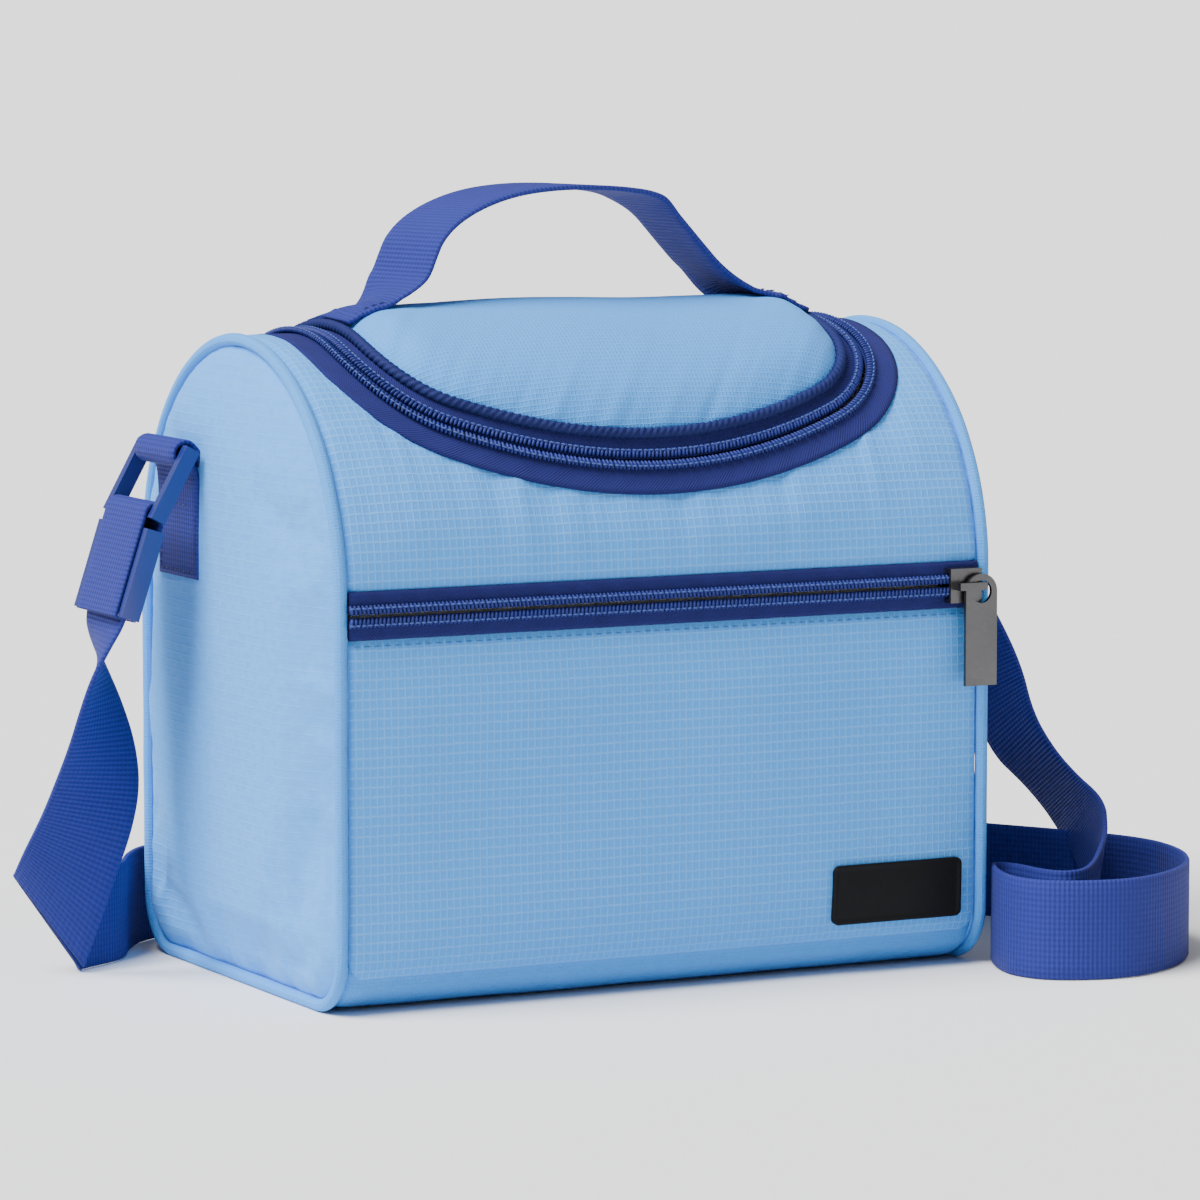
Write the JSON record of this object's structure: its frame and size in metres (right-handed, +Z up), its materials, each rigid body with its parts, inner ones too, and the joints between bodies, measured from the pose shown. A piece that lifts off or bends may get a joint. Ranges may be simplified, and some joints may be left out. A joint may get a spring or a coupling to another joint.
{
  "type": "insulated cooler bag",
  "caption": "Soft insulated lunch cooler with a U-zip domed lid, webbing handle, zipped front pocket and adjustable shoulder strap on side loops.",
  "frame": {"origin": "middle of the flat underside of the bag", "axes": "+X to the bag's right seen from the front, +Y to the back, +Z up"},
  "size_m": [0.3681, 0.2239, 0.2509],
  "materials": {
    "ripstop": "matt woven ripstop",
    "piping": "fabric-covered cord",
    "foam": "closed-cell foam",
    "liner": "wipe-clean film",
    "pocket_lining": "thin woven lining",
    "board": "stiff sheet",
    "zip_tape": "woven tape",
    "zip_coil": "nylon coil",
    "gunmetal": "gunmetal plating",
    "label": "soft moulded label",
    "webbing": "ribbed webbing",
    "moulded_blue": "moulded acetal"
  },
  "bodies": {
    "bag": {"side_panel_left": "ripstop", "side_panel_right": "ripstop", "piping_left": "piping", "piping_right": "piping", "side_foam_left": "foam", "side_foam_right": "foam", "liner_side_left": "liner", "liner_side_right": "liner", "front_yoke": "ripstop", "back_panel": "ripstop", "bottom_panel": "ripstop", "pocket_panel": "ripstop", "pocket_lining": "pocket_lining", "front_foam": "foam", "liner_front": "liner", "back_foam": "foam", "liner_back": "liner", "base_board": "board", "base_foam": "foam", "liner_bottom": "liner", "top_foam": "foam", "liner_top": "liner", "lid_tape_outer": "zip_tape", "lid_coil_outer": "zip_coil", "tail_tape_inner": "zip_tape", "tail_coil_inner": "zip_coil", "pocket_tape_lower": "zip_tape", "pocket_tape_upper": "zip_tape", "pocket_coil_lower": "zip_coil", "pocket_coil_upper": "zip_coil", "label": "label", "strap_tab_left": "webbing", "strap_tab_right": "webbing", "strap_hang_right": "webbing", "strap_floor": "webbing", "strap_fold": "webbing", "strap_hang_left": "webbing"},
    "lid": {"lid_panel": "ripstop", "lid_foam": "foam", "lid_liner": "liner", "lid_tape_inner": "zip_tape", "lid_coil_inner": "zip_coil", "lid_edge_cord": "zip_tape", "handle_foot_left": "webbing", "handle_foot_right": "webbing", "handle_leg_left": "webbing", "handle_leg_right": "webbing"},
    "handle": {"handle_bow": "webbing"},
    "pocket_slider": {"pocket_slider": "gunmetal"},
    "pocket_pull": {"pocket_pull": "gunmetal"},
    "lid_slider": {"lid_slider": "gunmetal"},
    "lid_pull": {"lid_pull": "gunmetal"},
    "ring_left": {"ring_left": "moulded_blue", "strap_thread_left": "webbing"},
    "ring_right": {"ring_right": "moulded_blue", "strap_thread_right": "webbing"},
    "adjuster": {"strap_adjuster": "moulded_blue"}
  },
  "joints": [
    {"name": "lid_hinge", "type": "hinge", "parent": "bag", "child": "lid", "pos_m": [0, 0.04205, 0.19274], "axis": [-1, 0, 0], "range_deg": [0, 115]},
    {"name": "handle_tilt", "type": "hinge", "parent": "lid", "child": "handle", "pos_m": [0, 0, 0.2165], "axis": [1, 0, 0], "range_deg": [-40, 40], "stiffness_Nm_per_rad": 0.02, "deforming": ["handle_leg_left", "handle_leg_right"]},
    {"name": "pocket_slide", "type": "slide", "parent": "bag", "child": "pocket_slider", "axis": [-1, 0, 0], "range_m": [0, 0.205]},
    {"name": "pocket_pull_swing", "type": "hinge", "parent": "pocket_slider", "child": "pocket_pull", "pos_m": [0.1084, -0.0828, 0.1238], "axis": [0, -1, 0], "range_deg": [-20, 120]},
    {"name": "lid_slide", "type": "hinge", "parent": "bag", "child": "lid_slider", "pos_m": [0, 0, 0.128], "axis": [1, 0, 0], "range_deg": [0, 58]},
    {"name": "lid_pull_swing", "type": "hinge", "parent": "lid_slider", "child": "lid_pull", "pos_m": [0.0915, 0.06211, 0.18187], "axis": [0, 0.7193, 0.6947], "range_deg": [-5, 80]},
    {"name": "ring_left_swing", "type": "hinge", "parent": "bag", "child": "ring_left", "pos_m": [-0.128, 0.024, 0.168], "axis": [0, 1, 0], "range_deg": [0, 70], "deforming": ["strap_hang_left"]},
    {"name": "ring_right_swing", "type": "hinge", "parent": "bag", "child": "ring_right", "pos_m": [0.128, 0.024, 0.168], "axis": [0, -1, 0], "range_deg": [0, 70], "deforming": ["strap_hang_right"]},
    {"name": "adjuster_slide", "type": "slide", "parent": "ring_left", "child": "adjuster", "axis": [-0.309, 0, -0.9511], "range_m": [0, 0.01]}
  ]
}
